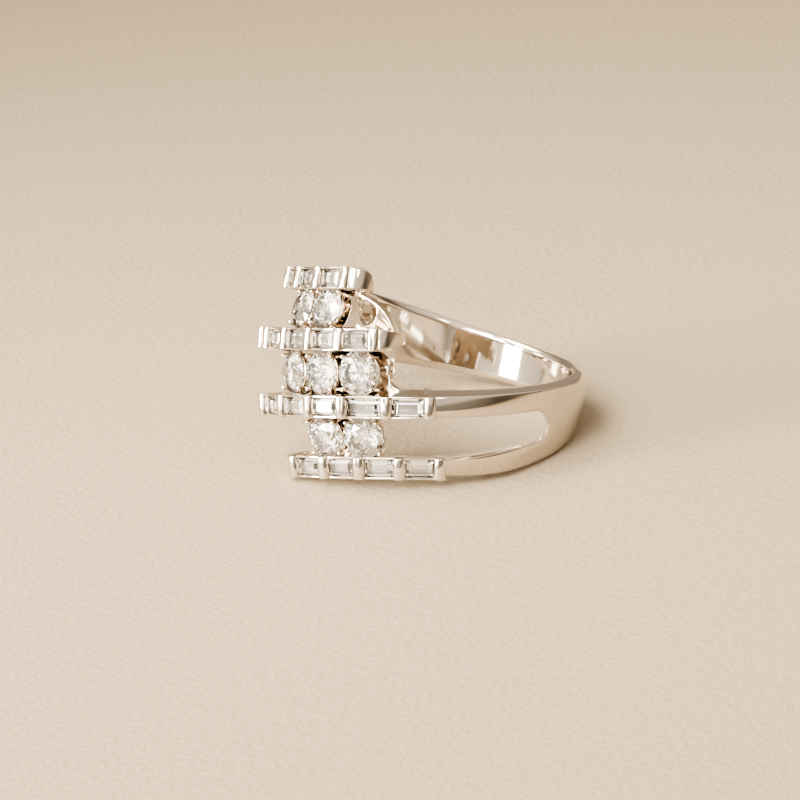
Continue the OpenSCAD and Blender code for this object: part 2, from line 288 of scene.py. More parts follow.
class RingLooks(bpy.types.PropertyGroup):
    metal: FloatVectorProperty(name="Metal", description="Colour of the polished white gold",
                               default=(0.65, 0.58, 0.49), size=3, min=0, max=1, subtype="COLOR")
    stone: FloatVectorProperty(name="Stones", description="Body colour of the stones",
                               default=(1.0, 1.0, 0.99), size=3, min=0, max=1, subtype="COLOR")
    floor: FloatVectorProperty(name="Floor", description="Colour of the floor",
                               default=(0.196, 0.149, 0.091), size=3, min=0, max=1, subtype="COLOR")
    polish: FloatProperty(name="Polish", description="Roughness of the polished metal",
                          default=0.05, min=0.0, max=1.0, subtype="FACTOR")


# Places


def rotation(angle, axis):
    return Matrix.Rotation(math.radians(angle), 4, axis)


def rest_pose():
    """Carries the ring's own axes, in millimetres, to where it lies, in metres."""
    lean = rotation(LEAN_BACK, "Y") @ rotation(LEAN_SIDE, "X")
    return Matrix.Scale(MM, 4) @ Matrix.Translation(REST_SHIFT) @ lean


def slanted(z):
    """The frame of a bar or a row, which leans by the slant about the axis of the head."""
    return Matrix.Translation((0, 0, z)) @ rotation(-SLANT, "Y")


def on_head(z, angle, radius, tilt):
    """A place on the head: +Y points out, and +X runs towards the free end of the lower bars."""
    return (slanted(z) @ rotation(angle, "Z") @ Matrix.Translation((0, -radius, 0))
            @ rotation(180, "Z") @ rotation(-tilt, "X"))


def in_row(row, i):
    """The place of a round stone, with +Z out of its table."""
    return on_head(row["z"], row["first"] + i * row["step"], row["r"], row["tilt"]) @ rotation(-90, "X")


# Mesh tools


def sharp_edges(bm, limit):
    return [e for e in bm.edges if len(e.link_faces) == 2
            and e.calc_face_angle() > math.radians(limit)]


def round_edges(bm, edges, width, segments):
    bmesh.ops.bevel(bm, geom=edges, offset=width, offset_type="OFFSET", segments=segments,
                    profile=0.5, affect="EDGES", clamp_overlap=True, material=-1)


def clear_finger(bm, radius):
    """Pushes out to the finger hole's wall whatever would stand in it."""
    for v in bm.verts:
        r = math.hypot(v.co.x, v.co.y)
        if r < radius:
            v.co.x *= radius / r
            v.co.y *= radius / r


def join_into(bm, other, matrix):
    """Adds a copy of another bmesh at a place."""
    mesh = bpy.data.meshes.new("scratch")
    other.to_mesh(mesh)
    mesh.transform(matrix)
    bm.from_mesh(mesh)
    bpy.data.meshes.remove(mesh)


def finish_piece(bm, name, material, both=False, recalc=True):
    """Lays the mesh down in the rest pose as one piece; both adds its half-turned twin."""
    if both:
        twin = bmesh.ops.duplicate(bm, geom=bm.verts[:] + bm.edges[:] + bm.faces[:])
        bmesh.ops.transform(bm, matrix=HALF_TURN,
                            verts=[g for g in twin["geom"] if isinstance(g, bmesh.types.BMVert)])
    # Closes seams and poles
    bmesh.ops.remove_doubles(bm, verts=bm.verts, dist=SEAM)
    if recalc:
        bmesh.ops.recalc_face_normals(bm, faces=bm.faces)
    for f in bm.faces:
        f.smooth = True
    bmesh.ops.transform(bm, matrix=rest_pose(), verts=bm.verts)
    mesh = bpy.data.meshes.new(name)
    bm.to_mesh(mesh)
    bm.free()
    piece = bpy.data.objects.new(name, mesh)
    bpy.context.scene.collection.objects.link(piece)
    mesh.materials.append(material)
    normals = piece.modifiers.new("even_normals", "WEIGHTED_NORMAL")
    normals.keep_sharp = False
    normals.weight = 60
    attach(piece, "root")
    return piece


# Outline and levels of the shank


def circle_reach(angle, shift, radius):
    """Distance from the finger axis to a circle set forward by shift, in a direction."""
    along = shift * math.cos(angle)
    return along + math.sqrt(along * along - shift * shift + radius * radius)


def soft_max(a, b, blend):
    """The greater of two numbers, rounded over where they are nearly equal."""
    return (a + b + math.sqrt((a - b) ** 2 + blend * blend)) / 2


def outer_reach(angle, z):
    """Distance from the finger axis to the band's outside, before it falls away at its edges."""
    wide = soft_max(circle_reach(angle, BACK_SHIFT, BACK_R),
                    circle_reach(angle, FRONT_SHIFT, FRONT_R), CIRCLE_BLEND)
    ball = math.sqrt(BALL_R * BALL_R - z * z)
    return -soft_max(-wide, -ball, BALL_BLEND)


def level(curve, u):
    """Height of an edge's curve at a distance to the right of the line of sight."""
    return curve[0] + curve[1] * u + curve[2] * u * u


def slot_top(u):
    return level(SHOULDER, u) - BRANCH - SLOT_DROP + SLOT_CURVE * u * u


def slot_bottom(u):
    return level(LOWER_SLOT, u) + BRANCH


def closeness(distance, reach):
    """1 at an edge, and smoothly down to 0 where the edge's reach ends."""
    return max(0.0, 1 - max(0.0, distance) / reach) ** 2


def turn_share(u):
    """How much of the turn's own form a point has, by its distance to the right of the line of sight."""
    share = max(0.0, min(1.0, (u - TURN_FROM_U) / (TURN_FULL_U - TURN_FROM_U)))
    return share * share * (3 - 2 * share)


def inner_level(x, y):
    """Level of the band's inner edge at a point of its plan."""
    sight = math.radians(SIGHT)
    by_depth = (min(BAND_HALF + FALL * max(OPEN_FROM_Y - y, 0), CREST)
                - NARROWING * max(y - OPEN_FROM_Y, 0))
    u = x * math.cos(sight) + y * math.sin(sight)
    by_sight = level(SHOULDER, min(u, SHOULDER_END_U))
    front = x * math.sin(sight) - y * math.cos(sight)
    lower = -soft_max(-by_depth, -by_sight, LEVEL_BLEND) if front > 0 else by_depth
    return lower + TURN_LIFT * turn_share(u)


def free_level(y):
    """Level of the band's other edge, at a depth."""
    back = max(OPEN_FROM_Y - y, 0)
    return -BAND_HALF - FLARE * back + CURL * back * back + NARROWING * max(y - OPEN_FROM_Y, 0)


def dipped(v, across, radius):
    """Height of a slot wall that falls inwards, at a radius: v is its level in the line of sight."""
    depth = SIGHT_R - across * radius
    dip = math.radians(SLOT_DIP)
    return (v - math.sin(dip) * depth) / math.cos(dip)


def slot_distance(u, v):
    """Distance from the slot's rim of a point beside it, as seen along the line of sight."""
    first, last = (SLOT_END_V + SLOT_END_R * math.sin(math.radians(a)) for a in SLOT_JOIN_TURN)
    chord = SLOT_JOIN_U[0] + (SLOT_JOIN_U[1] - SLOT_JOIN_U[0]) * (first - v) / (first - last)
    if u < chord:
        return max(v - slot_top(u), slot_bottom(u) - v)
    return math.hypot(u - SLOT_END_U, v - SLOT_END_V) - SLOT_END_R


# Shank


class ShankMap:
    """Gives each corner of the shank's grid its place on the outside or on the finger's side."""

    BRANCH_ROWS = 8
    END_ROWS = 16
    ARC_COLUMNS = 7
    SLOT_COLUMNS = 44
    BACK_COLUMNS = 56
    # Half the turn of the slot's round end that the back's columns run up to
    ARC = 45.0
    # How fast the rows spread evenly behind the slot
    EASE = 2.2
    # Rounds in which an angle and a level settle
    ANGLE_ROUNDS = 4
    LEVEL_ROUNDS = 3

    def __init__(self, finger_r, dome):
        self.finger_r = finger_r
        self.dome = dome
        self.rows = 2 * self.BRANCH_ROWS + self.END_ROWS
        self.columns = self.BACK_COLUMNS + self.SLOT_COLUMNS

    def reach(self, angle, z, outside):
        return outer_reach(angle, z) if outside else self.finger_r

    def angle_at(self, u, z, outside):
        """Angle round the finger of a distance u to the right of the line of sight."""
        angle = math.radians(SIGHT)
        for _ in range(self.ANGLE_ROUNDS):
            side = max(-1, min(1, u / self.reach(angle, z, outside)))
            angle = math.radians(SIGHT) + math.asin(side)
        return angle

    def plan(self, angle, z, outside):
        r = self.reach(angle, z, outside)
        return r * math.sin(angle), -r * math.cos(angle)

    def slot_level(self, v, angle, outside):
        z = v
        for _ in range(self.LEVEL_ROUNDS):
            r = self.reach(angle, z, outside)
            z = dipped(v, math.cos(angle - math.radians(SIGHT)), r)
        return z

    def end_point(self, turn, outside):
        """Angle and height of a point of the slot's round end, by its turn from the tip."""
        turn = math.radians(turn)
        v = SLOT_END_V + SLOT_END_R * math.sin(turn)
        angle = self.angle_at(SLOT_END_U + SLOT_END_R * math.cos(turn), v, outside)
        return angle, self.slot_level(v, angle, outside)

    def slot_column(self, i, outside):
        """Angle and height of a column's points on the band's edge and the slot's, for both branches."""
        run = (i - self.ARC_COLUMNS) / (self.SLOT_COLUMNS - self.ARC_COLUMNS)
        points = []
        for upper, tip, z, join, last in zip((True, False), BRANCH_TIP_U, BRANCH_TIP_Z,
                                             SLOT_JOIN_U, SLOT_JOIN_TURN):
            angle = self.angle_at(SLOT_END_U + (tip - SLOT_END_U) * run, z, outside)
            x, y = self.plan(angle, z, outside)
            edge = (angle, inner_level(x, y) if upper else free_level(y))
            if i < self.ARC_COLUMNS:
                first = self.ARC if upper else -self.ARC
                rim = self.end_point(first + (last - first) * i / self.ARC_COLUMNS, outside)
            else:
                u = join + (tip - join) * run
                angle = self.angle_at(u, z, outside)
                rim = (angle, self.slot_level(slot_top(u) if upper else slot_bottom(u), angle, outside))
            points += (edge, rim) if upper else (rim, edge)
        return points

    def beside_slot(self, i, j, outside):
        """Angle and height of a grid corner from the slot's end forwards."""
        n, m = self.BRANCH_ROWS, self.END_ROWS
        if n < j < n + m and i == self.BACK_COLUMNS:
            return self.end_point(self.ARC * (1 - 2 * (j - n) / m), outside)
        points = self.slot_column(i - self.BACK_COLUMNS, outside)
        first, last, share = (*points[:2], j / n) if j <= n else (*points[2:], (j - n - m) / n)
        return tuple(p + (q - p) * share for p, q in zip(first, last))

    def flat(self, i, j, outside):
        """Angle and height of grid corner (column, row); column 0 is the back of the ring."""
        if i >= self.BACK_COLUMNS:
            return self.beside_slot(i, j, outside)
        start, upper, lower = (self.beside_slot(self.BACK_COLUMNS, k, outside) for k in (j, 0, self.rows))
        share = 1 - i / self.BACK_COLUMNS
        # Behind the slot's end the columns straighten, and the rows spread evenly
        straight = upper[0] + (math.pi - upper[0]) * share
        bulge = start[0] + (math.pi - start[0]) * share
        angle = straight + (bulge - straight) * (1 - share) ** 2
        x, y = self.plan(angle, 0, outside)
        top, bottom = inner_level(x, y), free_level(y)
        ease = min(1.0, share * self.EASE)
        ease = ease * ease * (3 - 2 * ease)
        at_slot = (start[1] - upper[1]) / (lower[1] - upper[1])
        row = at_slot + (j / self.rows - at_slot) * ease
        return angle, top + (bottom - top) * row

    def fall(self, angle, z, r):
        """How far the outside falls away at a point near the band's edges and the slot's."""
        x, y = r * math.sin(angle), -r * math.cos(angle)
        turn = angle - math.radians(SIGHT)
        dip = math.radians(SLOT_DIP)
        u = r * math.sin(turn)
        v = z * math.cos(dip) + math.sin(dip) * (SIGHT_R - r * math.cos(turn))
        to_slot = slot_distance(u, v) if math.cos(turn) > 0 else SLOT_REACH
        to_upper = inner_level(x, y) - z
        to_edge = min(to_upper, z - free_level(y))
        return (self.dome * closeness(to_edge, EDGE_REACH)
                + TURN_ROLL * turn_share(u) * closeness(to_upper, ROLL_REACH)
                + SLOT_FALL * closeness(to_slot, SLOT_REACH))

    def place(self, angle, z, outside):
        r = self.reach(angle, z, outside)
        if outside:
            r -= self.fall(angle, z, r)
        else:
            # Behind, the edges on the finger's side are eased
            x, y = self.plan(angle, z, outside)
            to_edge = min(inner_level(x, y) - z, z - free_level(y))
            from_y, full_y = FINGER_EASE_Y
            behind = max(0.0, min(1.0, (y - from_y) / (full_y - from_y)))
            r += FINGER_FALL * behind * closeness(to_edge, FINGER_REACH)
        return Vector((r * math.sin(angle), -r * math.cos(angle), z))


def build_shank(sizes, material):
    shank = ShankMap(sizes.finger_d / MM / 2, sizes.dome / MM)
    n, m = shank.BRANCH_ROWS, shank.END_ROWS
    bm = bmesh.new()
    bmesh.ops.create_grid(bm, x_segments=shank.columns, y_segments=shank.rows, size=0.5)
    column = bm.verts.layers.int.new("column")
    row = bm.verts.layers.int.new("row")
    for v in bm.verts:
        v[column] = round((v.co.x + 0.5) * shank.columns)
        v[row] = round((0.5 - v.co.y) * shank.rows)
    slot = [f for f in bm.faces
            if all(v[column] >= shank.BACK_COLUMNS for v in f.verts)
            and all(n <= v[row] <= n + m for v in f.verts)]
    bmesh.ops.delete(bm, geom=slot, context="FACES")
    outside = set(bm.verts)
    loose = [v for v in bm.verts if not v.is_boundary]
    bmesh.ops.extrude_face_region(bm, geom=bm.faces[:], use_keep_orig=True)
    # Laid out flat the grid is evened, its edges held, and only then bent round the finger
    loose += [v for v in bm.verts if v not in outside and len(v.link_faces) == 4
              and not any(e.other_vert(v) in outside for e in v.link_edges)]
    for v in bm.verts:
        angle, z = shank.flat(v[column], v[row], v in outside)
        v.co = (angle * BACK_R, z, 0)
    for _ in range(EVENING):
        bmesh.ops.smooth_vert(bm, verts=loose, factor=0.5, use_axis_x=True, use_axis_y=True)
    for v in bm.verts:
        v.co = shank.place(v.co.x / BACK_R, v.co.y, v in outside)
    back = [f for f in bm.faces if all(v[column] == 0 for v in f.verts)]
    bmesh.ops.delete(bm, geom=back, context="FACES")
    bmesh.ops.recalc_face_normals(bm, faces=bm.faces)
    # Where the outside or the finger's side meets a wall
    rims = [e for e in bm.edges if (e.verts[0] in outside) == (e.verts[1] in outside)
            and any(len({v in outside for v in f.verts}) == 2 for f in e.link_faces)
            and not all(v[column] in {0, shank.columns} for v in e.verts)]
    round_edges(bm, rims, sizes.edge_round / MM, segments=4)
    return finish_piece(bm, "shank", material, both=True)


# Bars


def spun_strip(profile, start, end, steps):
    """A closed outline of radius and height, turned about the axis between two head angles."""
    bm = bmesh.new()
    first = math.radians(start)
    ring = [bm.verts.new((r * math.sin(first), -r * math.cos(first), h)) for r, h in profile]
    face = bm.faces.new(ring)
    bmesh.ops.spin(bm, geom=[face] + face.edges[:] + face.verts[:], cent=(0, 0, 0), axis=(0, 0, 1),
                   angle=math.radians(end - start), steps=steps, use_merge=False)
    bmesh.ops.recalc_face_normals(bm, faces=bm.faces)
    return bm


def tilted(points, radius, tilt):
    """Turns an outline about its point at a radius."""
    turn = math.radians(-tilt)
    return [(radius + (r - radius) * math.cos(turn) - h * math.sin(turn),
             (r - radius) * math.sin(turn) + h * math.cos(turn)) for r, h in points]


def rail_run(bar, finger_r, start, end, flare, flare_from, steps):
    """One run of a bar: two rails with a channel between, down to the finger hole."""
    half = BAR_W / 2
    floor = bar["r"] - CHANNEL_DEEP
    low = finger_r - RAIL_SINK
    lean = bar["undercut"] * (bar["r"] - low) / (bar["r"] - UNDERCUT_R)
    outline = [(low, -half), (bar["r"], -half), (bar["r"], -half + RAIL_W), (floor, -half + RAIL_W),
               (floor, half - RAIL_W), (bar["r"], half - RAIL_W), (bar["r"], half)]
    if flare and flare_from:
        outline.append((bar["r"] - flare_from, half))
    outline.append((low, half - lean + flare))
    bm = spun_strip(tilted(outline, bar["r"], bar["tilt"]), start, end, steps)
    round_edges(bm, sharp_edges(bm, limit=40), RAIL_ROUND, segments=2)
    bmesh.ops.transform(bm, matrix=slanted(bar["z"]), verts=bm.verts)
    clear_finger(bm, finger_r)
    return bm


def rail_strip(bar, finger_r):
    """Beside the stones of the middle row the flare starts lower than beyond them."""
    tip, root = bar["prongs"][-1] - PRONG_LAP, bar["prongs"][0] + PRONG_LAP
    strip = rail_run(bar, finger_r, tip, RUN_CHANGE + RUN_LAP, bar["flare"], FLARE_FROM, steps=36)
    beyond = rail_run(bar, finger_r, RUN_CHANGE, root, bar["flare"] / 2, 0, steps=16)
    join_into(strip, beyond, Matrix.Identity(4))
    beyond.free()
    return strip


def cross_prong():
    """A barrel block: round over the top, with softened sides."""
    bm = bmesh.new()
    tall = PRONG_DEEP + PRONG_RISE
    bmesh.ops.create_cube(bm, size=1.0)
    bmesh.ops.scale(bm, vec=(PRONG_W, tall, BAR_W), verts=bm.verts)
    bmesh.ops.translate(bm, vec=(0, PRONG_RISE - tall / 2, 0), verts=bm.verts)
    top = [e for e in bm.edges if all(v.co.y > 0 for v in e.verts)
           and abs(e.verts[0].co.z - e.verts[1].co.z) > BAR_W / 2]
    round_edges(bm, top, PRONG_CROWN, segments=8)
    round_edges(bm, sharp_edges(bm, limit=50), PRONG_ROUND, segments=3)
    return bm


def lofted(sections):
    """A closed solid through like sections, each a ring of corners."""
    bm = bmesh.new()
    corner = bm.verts.layers.int.new("corner")
    ring = [bm.verts.new(p) for p in sections[0]]
    for k, v in enumerate(ring):
        v[corner] = k
    face = bm.faces.new(ring)
    for section in sections[1:]:
        made = bmesh.ops.extrude_face_region(bm, geom=[face] + face.edges[:] + face.verts[:])["geom"]
        for v in (g for g in made if isinstance(g, bmesh.types.BMVert)):
            v.co = section[v[corner]]
        face = next(g for g in made if isinstance(g, bmesh.types.BMFace))
    bmesh.ops.recalc_face_normals(bm, faces=bm.faces)
    return bm


def fan_section(base, edge, near, far, flare, steps=5):
    """A section from a base line to the outer face, with the face's two corners rounded."""
    out = (edge - base).normalized()
    # A little of the face stays flat between its corners
    corner = min(CAP_CORNER, (far - near) / 2.2)
    points = [Vector((*base, near))]
    for centre, first in ((near + corner, 180), (far - corner, 90)):
        for k in range(steps + 1):
            a = math.radians(first - 90 * k / steps)
            spot = edge - out * corner * (1 - math.sin(a))
            points.append(Vector((*spot, centre + corner * math.cos(a))))
    return points + [Vector((*base, far + flare))]


def end_cap(cap, widths, flare):
    """The piece that closes a bar's free end: its face runs on, then rolls down to the gallery."""
    begin, end = PRONG_W / 2 - CAP_LAP, PRONG_W / 2 + cap["run"]
    path = [Vector((CAP_START, 0)), Vector((CAP_LEVEL_TO, 0))]
    for k in range(CAP_STEPS + 1):
        a = math.pi / 2 * k / CAP_STEPS
        path.append(Vector((begin + (end - begin) * math.sin(a), cap["roll"] * (math.cos(a) - 1))))
    path.append(Vector((end, -cap["foot"])))
    walked = [0.0]
    for p, q in zip(path, path[1:]):
        walked.append(walked[-1] + (q - p).length)
    sections = []
    for p, way in zip(path, walked):
        share = way / walked[-1]
        near, far = widths(max(0.0, way - CAP_FULL_TO) / (walked[-1] - CAP_FULL_TO))
        base = Vector((CAP_START, -CAP_BASE_DEEP)).lerp(Vector((CAP_FOOT_X, -cap["foot"])), share)
        sections.append(fan_section(base, p, near, far, flare * share))
    bm = lofted(sections)
    round_edges(bm, sharp_edges(bm, limit=50), CAP_ROUND, segments=3)
    return bm


def inner_widths(share):
    """A blade that narrows evenly, most on the side of the middle row."""
    half = BAR_W / 2
    return -half + BLADE_NEAR * share, half - BLADE_FAR * share


def outer_widths(share):
    """Full width, with a round corner near the end."""
    half = BAR_W / 2
    over = max(0.0, (share - ROUND_CORNER_FROM) / (1 - ROUND_CORNER_FROM))
    return -half + ROUND_CORNER_IN * (1 - math.sqrt(max(0.0, 1 - over * over))), half


def build_bars(sizes, material):
    finger_r = sizes.finger_d / MM / 2
    for bar, widths in ((INNER_BAR, inner_widths), (OUTER_BAR, outer_widths)):
        strip = rail_strip(bar, finger_r)
        cap = end_cap(bar["cap"], widths, bar["flare"] * CAP_FLARE)
        join_into(strip, cap, on_head(bar["z"], bar["prongs"][-1], bar["r"], bar["tilt"]))
        cap.free()
        clear_finger(strip, finger_r)
        finish_piece(strip, bar["name"] + "_bars", material, both=True)
        prongs = bmesh.new()
        block = cross_prong()
        for angle in bar["prongs"]:
            join_into(prongs, block, on_head(bar["z"], angle, bar["r"], bar["tilt"]))
        block.free()
        finish_piece(prongs, bar["name"] + "_cross_prongs", material, both=True)


# Settings of the rounds


def turned(profile, steps):
    """A closed outline of radius and height, turned fully about Z."""
    bm = bmesh.new()
    ring = [bm.verts.new((r, 0, h)) for r, h in profile]
    edges = [bm.edges.new((ring[k], ring[(k + 1) % len(ring)])) for k in range(len(ring))]
    bmesh.ops.spin(bm, geom=ring + edges, cent=(0, 0, 0), axis=(0, 0, 1), angle=2 * math.pi,
                   steps=steps, use_merge=True)
    bmesh.ops.recalc_face_normals(bm, faces=bm.faces)
    return bm


def cup_shape(wall):
    """A slim cup on a foot, with a thin rim just under the stone's girdle."""
    rim = ROUND_R + CUP_GAP
    bore = CUP_FOOT_R - CUP_FOOT_WALL
    profile = [(CUP_FOOT_R, CUP_FOOT_Z), (CUP_FOOT_R, CUP_NECK_Z), (rim + wall, CUP_SHOULDER_Z),
               (rim + wall, CUP_RIM_Z), (rim, CUP_RIM_Z + CUP_LIP),
               (rim - CUP_LIP, CUP_RIM_Z - 3 * CUP_LIP), (bore, CUP_NECK_Z + CUP_LIP), (bore, CUP_FOOT_Z)]
    bm = turned(profile, steps=64)
    round_edges(bm, sharp_edges(bm, limit=30), CUP_ROUND, segments=2)
    return bm


def claw_shape():
    """A round pin with a ball end."""
    r = CLAW_D / 2
    profile = [(POLE_R, -CLAW_SINK), (r, -CLAW_SINK)]
    for k in range(CLAW_STEPS + 1):
        a = math.pi / 2 * k / CLAW_STEPS
        profile.append((max(r * math.cos(a), POLE_R), CLAW_RISE + r * math.sin(a)))
    return turned(profile, steps=18)


def build_settings(sizes, material):
    cups, claws = bmesh.new(), bmesh.new()
    cup, claw = cup_shape(sizes.cup_wall / MM), claw_shape()
    stands = [rotation(a, "Z") @ Matrix.Translation((ROUND_R + CLAW_D / 2 - CLAW_GRIP, 0, 0))
              for a in CLAW_ANGLES]
    for row, twins in ((MID_ROW, (Matrix.Identity(4),)), (SIDE_ROW, (Matrix.Identity(4), HALF_TURN))):
        for i in range(row["count"]):
            for twin in twins:
                place = twin @ in_row(row, i)
                join_into(cups, cup, place)
                for stand in stands:
                    join_into(claws, claw, place @ stand)
    cup.free()
    claw.free()
    finish_piece(cups, "stone_cups", material, recalc=False)
    finish_piece(claws, "claws", material, recalc=False)


# Gallery, made flat and then bent: X runs round the head, Z along the finger and Y out of it


def scratch_object(bm, name):
    mesh = bpy.data.meshes.new(name)
    bm.to_mesh(mesh)
    bm.free()
    made = bpy.data.objects.new(name, mesh)
    bpy.context.scene.collection.objects.link(made)
    return made


def carved(body, steps):
    """Joins or cuts a mesh with others, one after the other."""
    made = [scratch_object(body, "scratch_body")]
    for kind, tool in steps:
        made.append(scratch_object(tool, "scratch_tool"))
        step = made[0].modifiers.new(kind, "BOOLEAN")
        step.operation, step.solver, step.object = kind, "EXACT", made[-1]
    evaluated = made[0].evaluated_get(bpy.context.evaluated_depsgraph_get())
    out = bmesh.new()
    out.from_mesh(evaluated.to_mesh())
    evaluated.to_mesh_clear()
    for scratch in made:
        mesh = scratch.data
        bpy.data.objects.remove(scratch)
        bpy.data.meshes.remove(mesh)
    bmesh.ops.remove_doubles(out, verts=out.verts, dist=CUT_SEAM)
    return out


def flat_block(x0, x1, h0, h1):
    bm = bmesh.new()
    bmesh.ops.create_cube(bm, size=1.0)
    bmesh.ops.scale(bm, vec=(x1 - x0, GALLERY_T, h1 - h0), verts=bm.verts)
    bmesh.ops.translate(bm, vec=((x0 + x1) / 2, GALLERY_T / 2, (h0 + h1) / 2), verts=bm.verts)
    return bm


def flat_disc(x, h, radius, deep=3.0):
    bm = bmesh.new()
    bmesh.ops.create_cone(bm, cap_ends=True, segments=72, radius1=radius, radius2=radius, depth=deep)
    bmesh.ops.rotate(bm, matrix=rotation(90, "X").to_3x3(), verts=bm.verts)
    bmesh.ops.translate(bm, vec=(x, GALLERY_T / 2, h), verts=bm.verts)
    return bm


def round_the_head(angle):
    return GALLERY_R * math.radians(angle)


def azure_holes(row):
    """Cuts the holes behind a row's stones."""
    return [("DIFFERENCE", flat_disc(round_the_head(row["first"] + i * row["step"]), 0, AZURE_R))
            for i in range(row["count"])]


def dissolve_flat(bm):
    """Makes one face of each flat side."""
    bmesh.ops.dissolve_limit(bm, angle_limit=math.radians(0.5), verts=bm.verts, edges=bm.edges)


def bent(bm, z, finger_r):
    """Rounds a flat piece's edges and bends it round the finger hole."""
    dissolve_flat(bm)
    round_edges(bm, sharp_edges(bm, limit=35), PLATE_ROUND, segments=3)
    low = min(v.co.x for v in bm.verts)
    high = max(v.co.x for v in bm.verts)
    cuts = int((high - low) / PLATE_CUT)
    for k in range(1, cuts):
        x = low + (high - low) * k / cuts
        bmesh.ops.bisect_plane(bm, geom=bm.verts[:] + bm.edges[:] + bm.faces[:], dist=1e-4,
                               plane_co=(x, 0, 0), plane_no=(1, 0, 0))
    pose = slanted(z)
    for v in bm.verts:
        share = v.co.y / GALLERY_T
        angle = v.co.x / GALLERY_R
        p = pose @ Vector((GALLERY_R * math.sin(angle), -GALLERY_R * math.cos(angle), v.co.z))
        reach = math.hypot(p.x, p.y)
        scale = (finger_r + (reach - finger_r) * share) / reach
        v.co = Vector((p.x * scale, p.y * scale, p.z))
    return bm


def middle_plate(finger_r):
    """The plate under the middle row, with a round inside corner where it runs into each bar."""
    end = round_the_head(MIDDLE_END)
    hole_x, hole_h, hole_r = PIN_HOLE
    cut_x, cut_h, cut_r = INSIDE_CORNER_CUT
    cuts = azure_holes(MID_ROW)
    cuts += [("DIFFERENCE", flat_disc(hole_x * side, hole_h * side, hole_r)) for side in (1, -1)]
    for side in (1, -1):
        x0, x1 = sorted(((end - INSIDE_CORNER["lap"]) * side, (end + INSIDE_CORNER["out"]) * side))
        h0, h1 = sorted((INSIDE_CORNER["low"] * side, INSIDE_CORNER["high"] * side))
        cuts.append(("UNION", flat_block(x0, x1, h0, h1)))
        cuts.append(("DIFFERENCE", flat_disc((end + cut_x) * side, cut_h * side, cut_r)))
    return bent(carved(flat_block(-end, end, -MIDDLE_HALF, MIDDLE_HALF), cuts), 0, finger_r)


def on_rim(p):
    """Whether a corner of the flat plate lies on the outer face's round edge."""
    x, h = RIM_CENTRE
    off_edge = abs(math.hypot(p.x - x, p.z - h) - RIM_R)
    return p.y > GALLERY_T - FACE_SLACK and p.x < x and off_edge < RIM_SLACK


def side_plate(finger_r, upper):
    """The plate under an outer row; the upper one's free end has a wide round rim and a window."""
    start, stop = round_the_head(SIDE_START), round_the_head(SIDE_STOP)
    cuts = azure_holes(SIDE_ROW)
    if upper:
        rim = carved(flat_block(RIM_FROM_X, start + RIM_LAP, RIM_LOW, SIDE_HALF),
                     [("INTERSECT", flat_disc(*RIM_CENTRE, RIM_R, RIM_DEEP))])
        windows = [("DIFFERENCE", flat_disc(*window)) for window in RIM_WINDOWS]
        cuts = [("UNION", rim)] + windows + cuts
    plate = carved(flat_block(start, stop, -SIDE_HALF, SIDE_HALF), cuts)
    dissolve_flat(plate)
    if upper:
        rim_edges = [e for e in plate.edges if all(on_rim(v.co) for v in e.verts)]
        round_edges(plate, rim_edges, RIM_ROLL, segments=6)
    plate = bent(plate, SIDE_ROW["z"], finger_r)
    if upper:
        bmesh.ops.transform(plate, matrix=HALF_TURN, verts=plate.verts)
    return plate


def build_gallery(sizes, material):
    finger_r = sizes.finger_d / MM / 2
    finish_piece(middle_plate(finger_r), "middle_gallery", material)
    finish_piece(side_plate(finger_r, upper=False), "lower_gallery", material)
    finish_piece(side_plate(finger_r, upper=True), "upper_gallery", material)


def build_lugs(material):
    """The lug at each end of the middle row, from the cup to the gallery's edge."""
    bm, lug = bmesh.new(), bmesh.new()
    bmesh.ops.create_cube(lug, size=1.0)
    bmesh.ops.scale(lug, vec=LUG_SIZE, verts=lug.verts)
    round_edges(lug, lug.edges[:], LUG_ROUND, segments=4)
    join_into(bm, lug, on_head(*LUG_PLACE, 0))
    lug.free()
    finish_piece(bm, "end_lugs", material, both=True)


def build_strut(material):
    """The waisted strut beside the window, from one bar to the next."""
    body = carved(flat_block(*STRUT_BLANK), [("DIFFERENCE", flat_disc(*waist)) for waist in STRUT_WAISTS])
    dissolve_flat(body)
    round_edges(body, sharp_edges(body, limit=35), PLATE_ROUND, segments=3)
    near, far = (Vector((*end, 0)) for end in STRUT_ENDS)
    along = (far - near).normalized()
    out = Vector((-along.y, along.x, 0))
    turn = Matrix((along, out, (0, 0, 1))).transposed().to_4x4()
    bm = bmesh.new()
    join_into(bm, body, HALF_TURN @ slanted(SIDE_ROW["z"]) @ Matrix.Translation((near + far) / 2) @ turn
              @ rotation(STRUT_TURN, "Z") @ rotation(STRUT_LEAN, "X")
              @ Matrix.Translation((0, -GALLERY_T, 0)))
    body.free()
    finish_piece(bm, "window_strut", material)


# Materials


def node(tree, kind, **inputs):
    made = tree.nodes.new(kind)
    for key, value in inputs.items():
        made.inputs[key.replace("_", " ")].default_value = value
    return made


def new_material(name):
    """A material with its tree, its shader and the Object coordinates that its patterns read."""
    material = bpy.data.materials.new(name)
    material.use_nodes = True
    tree = material.node_tree
    place = node(tree, "ShaderNodeTexCoord").outputs["Object"]
    return material, tree, tree.nodes["Principled BSDF"], place


